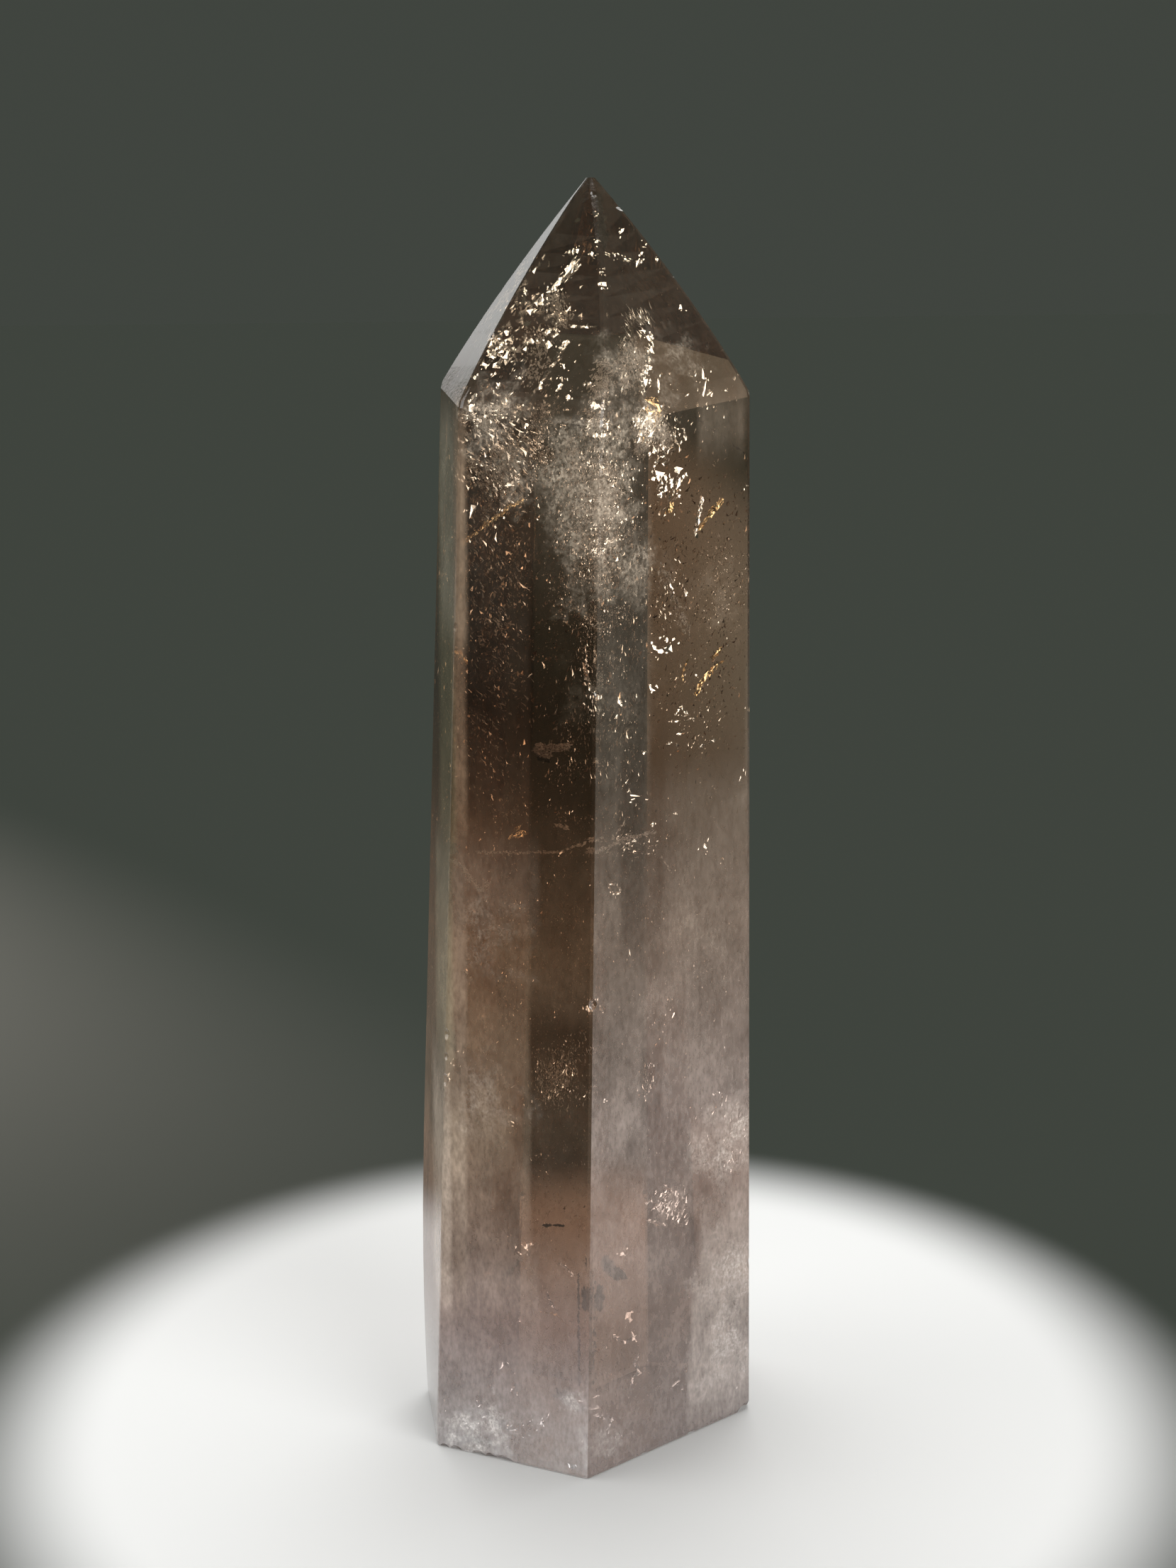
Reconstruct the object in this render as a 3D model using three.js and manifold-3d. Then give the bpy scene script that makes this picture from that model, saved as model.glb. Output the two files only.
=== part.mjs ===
// A polished smoky quartz point, cut from one crystal: an irregular six-sided column that narrows and leans
// a little, a six-faced tip over it and a flat sawn base under it, with soft edges and small shell-shaped chips.
// Millimetres, +Z up, origin under the middle of the crystal's box, on the plane it stands on.
import * as THREE from 'three';
import { mergeVertices } from 'three/addons/utils/BufferGeometryUtils.js';
import Module from 'manifold-3d';

// The tip: its place, and the width of the small blunt end
const TIP = new THREE.Vector3(2.0, 0.8, 105.3);
const TIP_WIDTH = 0.7;

// The six long edges, carried on upward, would all meet here: this sets the taper and the lean
const TAPER_APEX = new THREE.Vector3(13.5, 0, 535);

// The long edges, counterclockwise seen from above. x and y are where the edge meets the base plane, shoulder
// is the height where it turns into a ridge of the tip, and bow is how far that ridge swells at its middle.
const LONG_EDGES = {
  left: { x: -15.0, y: -0.95, shoulder: 89.5, bow: [-0.5, 0.05] },
  frontLeft: { x: -11.2, y: -10.15, shoulder: 88.3, bow: [-0.45, -0.3] },
  front: { x: 2.45, y: -13.95, shoulder: 87.0, bow: [0.65, -0.3] },
  right: { x: 15.0, y: -0.6, shoulder: 88.6, bow: [0.6, 0.05] },
  backRight: { x: 11.65, y: 9.85, shoulder: 89.2, bow: [0.5, 0.45] },
  backLeft: { x: -3.6, y: 13.95, shoulder: 89.6, bow: [-0.2, 0.6] },
};

// Polishing: how far back from an edge the softening starts, the steep bevel round the base, and the wear
// that pulls the foot of the left edge in
const SOFTENING = 0.3;
const BEVEL_HEIGHT = 0.35;
const BEVEL_INSET = 0.12;
const FOOT_WEAR = 0.95;
const FOOT_WEAR_HEIGHT = 25;
const WORN_LEVELS = [1.2, 2.5, 4.5, 7, 10, 13.5, 18, FOOT_WEAR_HEIGHT];

// The tip's faces swell slightly: a power under 1 keeps the swelling full near both ends
const BOW_FULLNESS = 0.85;
const TIP_RINGS = 12;

// Chips on named edges. rise is the height on a long edge, or the share of the way to the tip on a ridge, or
// the share of the way along a base edge; length is measured along the edge and bite into it.
const LONG_EDGE_CHIPS = [
  { edge: 'front', rise: 41.4, length: 1.1, bite: 0.28 },
  { edge: 'front', rise: 66.5, length: 0.8, bite: 0.18 },
  { edge: 'frontLeft', rise: 37.2, length: 1.2, bite: 0.3 },
  { edge: 'frontLeft', rise: 35.3, length: 0.9, bite: 0.22 },
  { edge: 'frontLeft', rise: 33.2, length: 1.4, bite: 0.3 },
  { edge: 'frontLeft', rise: 71.0, length: 1.0, bite: 0.2 },
  { edge: 'right', rise: 13.9, length: 1.3, bite: 0.28 },
  { edge: 'right', rise: 52.5, length: 0.9, bite: 0.18 },
  { edge: 'left', rise: 58.0, length: 1.2, bite: 0.22 },
  { edge: 'backRight', rise: 24.0, length: 1.6, bite: 0.35 },
  { edge: 'backRight', rise: 61.0, length: 1.0, bite: 0.22 },
  { edge: 'backLeft', rise: 17.0, length: 1.2, bite: 0.25 },
  { edge: 'backLeft', rise: 74.0, length: 1.5, bite: 0.3 },
];
const RIDGE_CHIPS = [
  { edge: 'right', rise: 0.88, length: 1.5, bite: 0.4 },
  { edge: 'right', rise: 0.55, length: 0.7, bite: 0.15 },
  { edge: 'left', rise: 0.46, length: 1.0, bite: 0.22 },
  { edge: 'front', rise: 0.93, length: 0.9, bite: 0.22 },
  { edge: 'frontLeft', rise: 0.3, length: 0.9, bite: 0.18 },
  { edge: 'backLeft', rise: 0.7, length: 1.1, bite: 0.25 },
  { edge: 'backRight', rise: 0.25, length: 0.9, bite: 0.2 },
];
const BASE_CHIPS = [
  { from: 'frontLeft', to: 'front', rise: 0.05, length: 0.9, bite: 0.3 },
  { from: 'frontLeft', to: 'front', rise: 0.13, length: 1.3, bite: 0.34 },
  { from: 'frontLeft', to: 'front', rise: 0.28, length: 1.6, bite: 0.32 },
  { from: 'frontLeft', to: 'front', rise: 0.36, length: 1.0, bite: 0.42 },
  { from: 'frontLeft', to: 'front', rise: 0.44, length: 2.6, bite: 0.36 },
  { from: 'front', to: 'right', rise: 0.34, length: 0.8, bite: 0.26 },
  { from: 'front', to: 'right', rise: 0.63, length: 1.1, bite: 0.3 },
  { from: 'front', to: 'right', rise: 0.985, length: 2.4, bite: 0.62 },
  { from: 'right', to: 'backRight', rise: 0.5, length: 1.4, bite: 0.34 },
  { from: 'backRight', to: 'backLeft', rise: 0.3, length: 1.2, bite: 0.32 },
  { from: 'backRight', to: 'backLeft', rise: 0.72, length: 2.0, bite: 0.36 },
  { from: 'backLeft', to: 'left', rise: 0.4, length: 1.5, bite: 0.34 },
];

const edgeNames = Object.keys(LONG_EDGES);
const edges = Object.values(LONG_EDGES);
const wasm = await Module();
wasm.setup();

// A point on a long edge at a height above the base plane
function pointOnLongEdge(edge, height) {
  const foot = new THREE.Vector3(edge.x, edge.y, 0);
  return foot.lerp(TAPER_APEX, height / TAPER_APEX.z);
}

// A point on a ridge of the tip, from its shoulder (share 0) to the blunt end (share 1)
function pointOnRidge(edge, share) {
  const shoulder = pointOnLongEdge(edge, edge.shoulder);
  const outward = shoulder.clone().sub(TIP).setZ(0).normalize();
  const end = TIP.clone().addScaledVector(outward, TIP_WIDTH / 2);
  const swelling = (4 * share * (1 - share)) ** BOW_FULLNESS;
  const bow = new THREE.Vector3(edge.bow[0], edge.bow[1], 0);
  return shoulder.lerp(end, share).addScaledVector(bow, swelling);
}

// The steps from a ring's corner to its two neighbours, and how far along them softening may reach
function stepsFromCorner(ring, index) {
  const corner = ring[index];
  const before = ring[(index + ring.length - 1) % ring.length].clone().sub(corner);
  const after = ring[(index + 1) % ring.length].clone().sub(corner);
  return { before, after, reach: 0.3 * Math.min(before.length(), after.length()) };
}

// A ring moved inward by the same distance from every side
function insetRing(ring, distance) {
  return ring.map((corner, index) => {
    const { before, after } = stepsFromCorner(ring, index);
    before.normalize();
    after.normalize();
    const sine = before.clone().cross(after).length();
    return corner.clone().addScaledVector(before.add(after), distance / sine);
  });
}

// Each sharp corner of a ring becomes three points on a short arc
function softenRing(ring) {
  return ring.flatMap((corner, index) => {
    const { before, after, reach } = stepsFromCorner(ring, index);
    const distance = Math.min(SOFTENING, reach);
    const start = corner.clone().addScaledVector(before.normalize(), distance);
    const end = corner.clone().addScaledVector(after.normalize(), distance);
    const middle = start.clone().add(end).add(corner).add(corner).multiplyScalar(0.25);
    return [start, middle, end];
  });
}

// The column's outline at one height, with the foot of the left edge worn in
function columnRing(height) {
  return edges.map((edge) => {
    const corner = pointOnLongEdge(edge, height);
    if (edge === LONG_EDGES.left && height < FOOT_WEAR_HEIGHT) {
      corner.x += FOOT_WEAR * (1 - height / FOOT_WEAR_HEIGHT) ** 2;
    }
    return corner;
  });
}

function crystalRings() {
  const foot = insetRing(columnRing(0), BEVEL_INSET);
  const worn = [BEVEL_HEIGHT, ...WORN_LEVELS].map(columnRing);
  const underShoulder = edges.map((edge) => pointOnLongEdge(edge, edge.shoulder - SOFTENING));
  const overShoulder = edges.map((edge) => {
    const ridgeLength = pointOnLongEdge(edge, edge.shoulder).distanceTo(TIP);
    return pointOnRidge(edge, SOFTENING / ridgeLength);
  });
  const tip = [];
  for (let ring = 1; ring <= TIP_RINGS; ring += 1) {
    tip.push(edges.map((edge) => pointOnRidge(edge, ring / TIP_RINGS)));
  }
  return [foot, ...worn, underShoulder, overShoulder, ...tip].map(softenRing);
}

// A closed skin over the rings, with a fan over the first and the last
function skinGeometry(rings) {
  const count = rings[0].length;
  const points = rings.flat();
  const indices = [];
  for (let level = 0; level + 1 < rings.length; level += 1) {
    for (let side = 0; side < count; side += 1) {
      const next = (side + 1) % count;
      const low = level * count;
      const high = low + count;
      indices.push(low + side, low + next, high + next);
      indices.push(low + side, high + next, high + side);
    }
  }
  const last = (rings.length - 1) * count;
  for (let side = 1; side + 1 < count; side += 1) {
    indices.push(0, side + 1, side);
    indices.push(last, last + side, last + side + 1);
  }
  const geometry = new THREE.BufferGeometry().setFromPoints(points);
  geometry.setIndex(indices);
  return geometry;
}

function toSolid(geometry) {
  const bare = geometry.clone();
  bare.deleteAttribute('normal');
  bare.deleteAttribute('uv');
  const merged = mergeVertices(bare);
  const vertProperties = new Float32Array(merged.attributes.position.array);
  const triVerts = new Uint32Array(merged.index.array);
  return new wasm.Manifold(new wasm.Mesh({ numProp: 3, vertProperties, triVerts }));
}

function toGeometry(solid) {
  const { vertProperties, triVerts } = solid.getMesh();
  const geometry = new THREE.BufferGeometry();
  geometry.setAttribute('position', new THREE.BufferAttribute(new Float32Array(vertProperties), 3));
  geometry.setIndex(new THREE.BufferAttribute(new Uint32Array(triVerts), 1));
  geometry.computeVertexNormals();
  return geometry;
}

// A shell-shaped chip is what a faceted ball leaves where it dips into an edge: the ball's radius follows from
// the chip's length and bite, and turn, its number in the list taken as radians, keeps any two from looking alike
function chipBall(place, outward, chip, turn) {
  const radius = chip.length ** 2 / (8 * chip.bite) + chip.bite / 2;
  const ball = new THREE.IcosahedronGeometry(radius, 2);
  ball.rotateX(turn);
  ball.rotateZ(turn * 1.7);
  const centre = place.clone().addScaledVector(outward, radius - chip.bite);
  ball.translate(centre.x, centre.y, centre.z);
  return toSolid(ball);
}

function longEdgeChip(chip, turn) {
  const place = pointOnLongEdge(LONG_EDGES[chip.edge], chip.rise);
  const outward = place.clone().setZ(0).normalize();
  return chipBall(place, outward, chip, turn);
}

function ridgeChip(chip, turn) {
  const place = pointOnRidge(LONG_EDGES[chip.edge], chip.rise);
  const outward = place.clone().sub(TIP).setZ(0).normalize();
  outward.z = 0.7;
  return chipBall(place, outward.normalize(), chip, turn);
}

function baseChip(chip, turn) {
  const ring = columnRing(0);
  const start = ring[edgeNames.indexOf(chip.from)];
  const end = ring[edgeNames.indexOf(chip.to)];
  const place = start.clone().lerp(end, chip.rise);
  const along = end.clone().sub(start).normalize();
  const outward = new THREE.Vector3(along.y, -along.x, -0.8).normalize();
  return chipBall(place, outward, chip, turn);
}

function chipCrystal(crystal) {
  const balls = [
    ...LONG_EDGE_CHIPS.map(longEdgeChip),
    ...RIDGE_CHIPS.map(ridgeChip),
    ...BASE_CHIPS.map(baseChip),
  ];
  return balls.reduce((rest, ball) => rest.subtract(ball), crystal);
}

// The chips and the wear shift the box a little, so the crystal is set with its box centred over the origin
function centreOverOrigin(geometry) {
  geometry.computeBoundingBox();
  const { min, max } = geometry.boundingBox;
  geometry.translate(-(min.x + max.x) / 2, -(min.y + max.y) / 2, -min.z);
  return geometry;
}

function smokyQuartz() {
  return new THREE.MeshStandardMaterial({ color: 0x6f6058, roughness: 0.08, metalness: 0 });
}

function quartzTower() {
  const crystal = chipCrystal(toSolid(skinGeometry(crystalRings())));
  const mesh = new THREE.Mesh(centreOverOrigin(toGeometry(crystal)), smokyQuartz());
  mesh.name = 'quartz_tower';
  return mesh;
}

const tower = new THREE.Group();
tower.add(quartzTower());

export default tower;
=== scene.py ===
import math

import bmesh
import bpy
import numpy as np
from mathutils import Euler, Matrix, Vector, noise
from mathutils.bvhtree import BVHTree


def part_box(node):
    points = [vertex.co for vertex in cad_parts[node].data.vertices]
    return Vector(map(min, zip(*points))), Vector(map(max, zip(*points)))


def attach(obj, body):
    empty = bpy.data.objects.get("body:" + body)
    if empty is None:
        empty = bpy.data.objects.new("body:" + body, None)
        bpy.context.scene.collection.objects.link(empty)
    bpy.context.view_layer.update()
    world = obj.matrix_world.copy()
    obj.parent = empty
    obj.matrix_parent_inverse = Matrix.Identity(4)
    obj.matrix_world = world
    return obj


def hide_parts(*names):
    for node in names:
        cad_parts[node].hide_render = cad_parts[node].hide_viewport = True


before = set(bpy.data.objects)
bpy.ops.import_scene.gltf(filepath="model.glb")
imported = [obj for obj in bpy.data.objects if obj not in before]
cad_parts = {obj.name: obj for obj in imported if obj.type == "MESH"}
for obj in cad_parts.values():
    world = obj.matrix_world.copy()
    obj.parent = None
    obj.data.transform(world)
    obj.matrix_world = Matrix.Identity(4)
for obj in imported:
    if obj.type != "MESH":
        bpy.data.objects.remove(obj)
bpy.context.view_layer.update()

MM = 0.001
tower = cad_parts["quartz_tower"]
low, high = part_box("quartz_tower")
height = high.z - low.z

# The camera of the photograph: its place, how far it is turned towards -X, tipped down and leaned, its
# lens, how many pixels of the photograph a millimetre of the crystal takes, and how near and far it sees,
# in metres
CAMERA_PLACE = Vector((27.0, -175.1, 98.5)) * MM
CAMERA_TURN = math.radians(8.51)
CAMERA_TIP = math.radians(13.39)
CAMERA_LEAN = math.radians(-0.81)
FOCAL_LENGTH_PX = 3067
PHOTO_WIDTH_PX = 1659
PHOTO_HEIGHT_PX = 2212
PX_PER_MM = 17.6
SENSOR_MM = 36
CLIP_START = 0.01
CLIP_END = 20

# The floor's colour paints a pool of soft light: pale round the crystal, falling off into painted darker
# ground. How far it reaches (in metres), how far it lies below the crystal, how far out the painted pool is
# pale, and over what width it fades
FLOOR_REACH = 4.0
FLOOR_GAP = 0.03 * MM
PAINTED_POOL_RADIUS = 0.042
PAINTED_POOL_FADE = 0.016
FLOOR_PAINTED_POOL = (0.50, 0.50, 0.498, 1)
FLOOR_PAINTED_DARK = (0.027, 0.031, 0.026, 1)
FLOOR_ROUGHNESS = 0.9

# A fainter long painted pool of light lies behind the crystal to the left: its way from the crystal, how
# far its middle is, half its size, which share of that is full, and its colour
PAINTED_SIDE_POOL_WAY = math.radians(58)
PAINTED_SIDE_POOL_MIDDLE = 0.60
PAINTED_SIDE_POOL_LENGTH = 0.62
PAINTED_SIDE_POOL_WIDTH = 0.13
PAINTED_SIDE_POOL_FULL = 0.45
FLOOR_PAINTED_SIDE_POOL = (0.16, 0.15, 0.135, 1)

# Broad soft lights: the way to the middle, where the light begins and is full (cosines of the angle from
# that way), and how bright it is. Then their colour, and the dim light from everywhere
KEY_LIGHT = (0.731, -0.571, 0.375)
SOFT_LIGHTS = (
    ((-0.05, 0.35, 0.94), 0.78, 0.93, 5.0),
    (KEY_LIGHT, 0.885, 0.955, 6.5),
    ((-0.875, -0.235, 0.423), 0.90, 0.97, 3.0),
    ((0.0, 0.85, 0.53), 0.93, 0.98, 0.5),
    ((-0.49, 0.82, 0.30), 0.982, 0.996, 1.2),
)
LIGHT_COLOUR = (1, 1, 0.99, 1)
SURROUNDINGS = (0.052, 0.059, 0.050, 1)

# Quartz: how much it bends light, and how brown it turns what is seen through it
QUARTZ_IOR = 1.544
SMOKE_COLOUR = (0.67, 0.51, 0.36, 1)
SMOKE_DENSITY = 75

# How milky the crystal is at a height in mm (0 is clear), and the colour of what is milky there, left of
# the front edge and right of it: partly the milk's own colour, partly painted light and shade of each side
MILK = (
    (0, 0.42),
    (8, 0.40),
    (13, 0.38),
    (22, 0.34),
    (30, 0.32),
    (45, 0.25),
    (55, 0.16),
    (65, 0.09),
    (80, 0.05),
    (105, 0.03),
)
MILK_AND_SHADE_LEFT = (
    (0, (0.74, 0.72, 0.73, 1)),
    (13, (0.48, 0.34, 0.30, 1)),
    (30, (0.66, 0.49, 0.35, 1)),
    (45, (0.61, 0.37, 0.22, 1)),
    (65, (0.22, 0.14, 0.09, 1)),
    (80, (0.70, 0.56, 0.43, 1)),
    (105, (0.60, 0.50, 0.36, 1)),
)
MILK_AND_SHADE_RIGHT = (
    (0, (0.32, 0.28, 0.27, 1)),
    (13, (0.33, 0.24, 0.20, 1)),
    (30, (0.74, 0.61, 0.55, 1)),
    (45, (0.63, 0.49, 0.40, 1)),
    (65, (0.62, 0.53, 0.42, 1)),
    (80, (0.70, 0.58, 0.46, 1)),
    (105, (0.60, 0.50, 0.36, 1)),
)

# Clouds in the milk: column and row in the photograph, radius in mm and strength. A small one keeps its
# place and shape more than the others. Then their colour at a height in mm
MILK_CLOUDS = (
    (840, 690, 5.5, 0.36),
    (815, 775, 3.5, 0.18),
    (880, 800, 4.5, 0.24),
    (790, 625, 3.5, 0.16),
    (735, 670, 3.0, 0.20),
    (680, 610, 3.5, 0.30),
    (870, 600, 3.0, 0.22),
    (915, 600, 2.0, 0.30),
    (805, 690, 2.8, 0.12),
    (800, 845, 2.4, 0.14),
    (715, 560, 3.0, 0.12),
    (885, 520, 3.5, 0.14),
    (925, 600, 2.5, 0.16),
    (1015, 850, 4.0, 0.05),
    (880, 980, 5.0, 0.04),
    (955, 505, 3.5, 0.12),
    (1020, 1620, 4.5, 0.22),
    (690, 1320, 5.0, 0.10),
    (680, 1550, 4.5, 0.12),
    (1000, 1330, 6.0, 0.05),
    (690, 2015, 3.5, 0.34),
    (640, 2035, 2.5, 0.25),
    (805, 1975, 1.4, 0.22),
    (860, 2030, 2.5, 0.08),
    (1040, 1790, 5.5, 0.13),
    (1030, 1900, 5.0, 0.13),
)
SMALL_CLOUD = 2.2
CLOUD_COLOUR = (
    (0, (0.82, 0.78, 0.75, 1)),
    (30, (0.80, 0.70, 0.62, 1)),
    (60, (0.80, 0.64, 0.49, 1)),
    (105, (0.80, 0.68, 0.54, 1)),
)

# Upright bands with less milk: left and right column, top and bottom row, whether they lie right of
# the front edge, and the share of the milk left. Their sides are blurred and their ends fade
MILK_BANDS = (
    ((747, 870), (840, 1180), 0, 0.25),
    ((747, 870), (1180, 1420), 0, 0.55),
    ((747, 870), (1420, 1770), 0, 0.20),
    ((722, 747), (1520, 1640), 0, 0.50),
    ((697, 722), (1600, 1700), 0, 0.75),
    ((918, 1055), (620, 1100), 1, 0.19),
    ((875, 937), (985, 1330), 1, 0.65),
    ((903, 934), (1450, 1590), 1, 0.70),
    ((775, 870), (1840, 1930), 0, 0.75),
    ((840, 900), (1830, 1930), 1, 0.80),
)
BAND_BLUR = 0.3 * MM
BAND_FADE = 3 * MM

# Upright strips that are milkier than what is round them, those on the narrow left face also a painted
# reflection: columns, rows and side as above, how much milk they add, and its colour
MILK_AND_REFLECTION_STRIPS = (
    # along the edge between the narrow left face and the front one
    ((641, 657), (590, 900), 0, 0.42, (0.62, 0.44, 0.30, 1)),
    ((640, 657), (900, 1170), 0, 0.27, (0.56, 0.36, 0.23, 1)),
    ((639, 657), (1200, 1480), 0, 0.14, (0.74, 0.60, 0.48, 1)),
    ((637, 658), (1480, 1840), 0, 0.18, (0.76, 0.62, 0.50, 1)),
    # the narrow left face itself: painted reflection of pale and green surroundings
    ((620, 640), (600, 1200), 0, 0.12, (0.62, 0.58, 0.34, 1)),
    ((621, 641), (580, 880), 0, 0.17, (0.72, 0.66, 0.56, 1)),
    ((616, 638), (1200, 1500), 0, 0.23, (0.76, 0.72, 0.52, 1)),
    ((612, 636), (1500, 1840), 0, 0.40, (0.76, 0.64, 0.54, 1)),
    # the left front side, below the thin level fracture and above the foot
    ((657, 760), (1205, 1290), 0, 0.09, (0.78, 0.58, 0.46, 1)),
    ((657, 760), (1765, 1850), 0, 0.10, (0.80, 0.68, 0.60, 1)),
    # right of the slanting tone boundary at the foot
    ((988, 1055), (1700, 1800), 1, 0.15, (0.80, 0.72, 0.66, 1)),
    ((976, 1055), (1800, 1900), 1, 0.14, (0.80, 0.72, 0.66, 1)),
    # below the right shoulder
    ((985, 1050), (572, 622), 1, 0.17, (0.72, 0.56, 0.42, 1)),
    # the lowest part of the tone boundary
    ((970, 1055), (1900, 1985), 1, 0.12, (0.80, 0.72, 0.66, 1)),
)

# How the clouds are stirred, widely and finely: grain of the stirring in mm, and how far it reaches
WIDE_STIR = (2.5, 5 * MM)
FINE_STIR = (0.6, 1.5 * MM)
STIR_DETAIL = 3

# Softened edges and chips are narrower than this, duller and a little whiter. The sawn base is duller
# still, and ends between two levels. Only these have a bump
EDGE_WIDTH = 0.8 * MM
POLISHED = 0.015
WORN_ROUGHNESS = 0.08
SAWN_ROUGHNESS = 0.40
WORN_MILK = 0.02
SAWN_MILK = 0.20
SAWN_LEVELS = (0.02 * MM, 0.08 * MM)
BUMP_STRENGTH = 0.4
BUMP_DEPTH = 0.02 * MM

# Noise, each time: grain in mm, how many times it is drawn out upwards, detail, and the values it lies
# between
MILK_NOISES = (
    (5.0, 1.5, 5, 0.70, 1.30),
    (1.4, 1.5, 4, 0.85, 1.15),
    (0.32, 2.2, 4, 0.78, 1.22),
)
CLOUD_TEARS = (0.9, 1.4, 6, 0.1, 2.1)
CLOUD_GRAIN = (0.22, 1.3, 3, 0.3, 1.7)
WEAR_NOISE = (1.2, 2, 4, 0.2, 1)
POLISH_NOISE = (3.0, 1.5, 5, POLISHED * 0.5, POLISHED * 2)
BUMP_NOISE = (0.25, 1, 3, 0, 1)
FLECK_NOISE = (0.15, 1, 2, 0, 1)

# All noise: its roughness, and between which of its own values it is spread out
NOISE_ROUGHNESS = 0.6
NOISE_RANGE = (0.32, 0.68)

# The crystal's mesh: corners nearer than this are joined, faces flatter than this are one, edges sharper
# than this stay sharp, and how quickly a face counts as right of the front edge as it turns to the right
WELD = 0.001 * MM
FLAT_ANGLE = math.radians(0.15)
SHARP_ANGLE = math.radians(6)
FRONT_TURN = 2.5

# Which faces are sides and which belong to the point: area, height, and the upward part of the normal; and
# how far apart the faces of one slope may be turned, and from which area on they say how it turns
SIDE_AREA = 60 * MM * MM
POINT_START = 86 * MM
UPRIGHT = 0.10
SLOPING = 0.33
STEEP = 0.66
SLOPE_SPREAD = math.radians(8)
FITTED_AREA = 1 * MM * MM

# Fields of flecks, where the photograph shows them: column and row of the middle, half width and half
# height in pixels, how many are tried, size in mm, how many times longer than wide, lean of the long side
# from upright to the right in degrees, how deep they lie (two shares of the way from the near face to the
# far one), and which share of them glints
FLECK_FIELDS = (
    # left of the point and below it
    (755, 430, 55, 70, 460, 0.30, 1.7, 35, 0.05, 0.35, 0.7),
    (700, 500, 36, 40, 320, 0.34, 1.5, 35, 0.05, 0.25, 0.7),
    (697, 648, 54, 72, 3200, 0.22, 2.2, -42, 0.04, 0.35, 0.4),
    (690, 590, 44, 12, 200, 0.26, 1.6, 60, 0.05, 0.20, 0.6),
    (700, 910, 52, 200, 1200, 0.13, 3.6, -35, 0.08, 0.50, 0.2),
    (700, 1110, 50, 110, 600, 0.10, 3.0, -20, 0.10, 0.60, 0.2),
    # the cloud in the middle
    (770, 630, 34, 70, 2600, 0.10, 1.6, 20, 0.06, 0.35, 0.25),
    (845, 690, 56, 96, 6500, 0.15, 1.7, 20, 0.04, 0.30, 0.35),
    (830, 790, 56, 100, 3200, 0.11, 1.7, 10, 0.06, 0.45, 0.25),
    (850, 860, 60, 90, 1600, 0.09, 1.8, 0, 0.08, 0.45, 0.25),
    # right of the middle
    (898, 456, 16, 16, 600, 0.10, 7.0, -35, 0.04, 0.12, 0.3),
    (885, 520, 18, 40, 700, 0.10, 5.0, 20, 0.05, 0.20, 0.3),
    (912, 540, 9, 60, 260, 0.17, 1.8, 10, 0.05, 0.15, 0.6),
    (925, 610, 24, 34, 700, 0.16, 2.2, 20, 0.05, 0.20, 0.5),
    (944, 688, 18, 32, 160, 0.26, 1.7, 20, 0.05, 0.20, 0.7),
    (985, 560, 50, 50, 400, 0.09, 2.5, 20, 0.05, 0.40, 0.4),
    (1015, 830, 46, 80, 2600, 0.07, 1.5, 0, 0.15, 0.60, 0.2),
    (940, 840, 26, 60, 450, 0.10, 3.0, -25, 0.08, 0.30, 0.4),
    (912, 598, 15, 26, 420, 0.24, 1.7, 20, 0.03, 0.12, 0.8),
    (975, 990, 50, 80, 700, 0.08, 3.0, 30, 0.10, 0.40, 0.4),
    # the dark strip left of the front edge and the grey one right of it
    (797, 1000, 42, 130, 420, 0.11, 3.2, 20, 0.10, 0.50, 0.2),
    (797, 1120, 42, 100, 600, 0.09, 2.0, 20, 0.10, 0.50, 0.2),
    (878, 1000, 36, 200, 1200, 0.09, 4.5, 0, 0.06, 0.40, 0.2),
    (895, 1190, 30, 14, 500, 0.09, 3.0, 70, 0.05, 0.20, 0.4),
    # the lower half
    (735, 1350, 100, 260, 5000, 0.06, 2.5, 0, 0.06, 0.60, 0.15),
    (950, 1350, 105, 260, 5000, 0.06, 2.5, 0, 0.06, 0.60, 0.15),
    (792, 1520, 42, 50, 1700, 0.09, 3.5, 8, 0.02, 0.09, 0.12),
    (912, 1530, 16, 36, 260, 0.10, 3.5, 0, 0.05, 0.25, 0.4),
    (1022, 1610, 34, 62, 1300, 0.09, 5.0, 14, 0.05, 0.25, 0.3),
    (943, 1705, 25, 26, 1500, 0.24, 2.4, 35, 0.02, 0.06, 0.6),
    (735, 1720, 100, 160, 3000, 0.06, 2.0, 0, 0.06, 0.60, 0.15),
    (940, 1720, 105, 160, 3000, 0.06, 2.0, 0, 0.06, 0.60, 0.15),
    # the foot
    (720, 1920, 100, 120, 3500, 0.07, 1.8, 20, 0.06, 0.60, 0.15),
    (930, 1900, 110, 120, 3500, 0.07, 1.8, 0, 0.06, 0.60, 0.15),
    (685, 2012, 42, 30, 1600, 0.11, 3.0, 65, 0.03, 0.20, 0.3),
    (760, 2000, 26, 22, 300, 0.12, 2.0, 40, 0.03, 0.20, 0.5),
    (852, 2030, 26, 32, 800, 0.10, 2.4, 30, 0.03, 0.20, 0.3),
    (812, 2068, 14, 8, 120, 0.15, 2.0, 60, 0.03, 0.20, 0.5),
)

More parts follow.
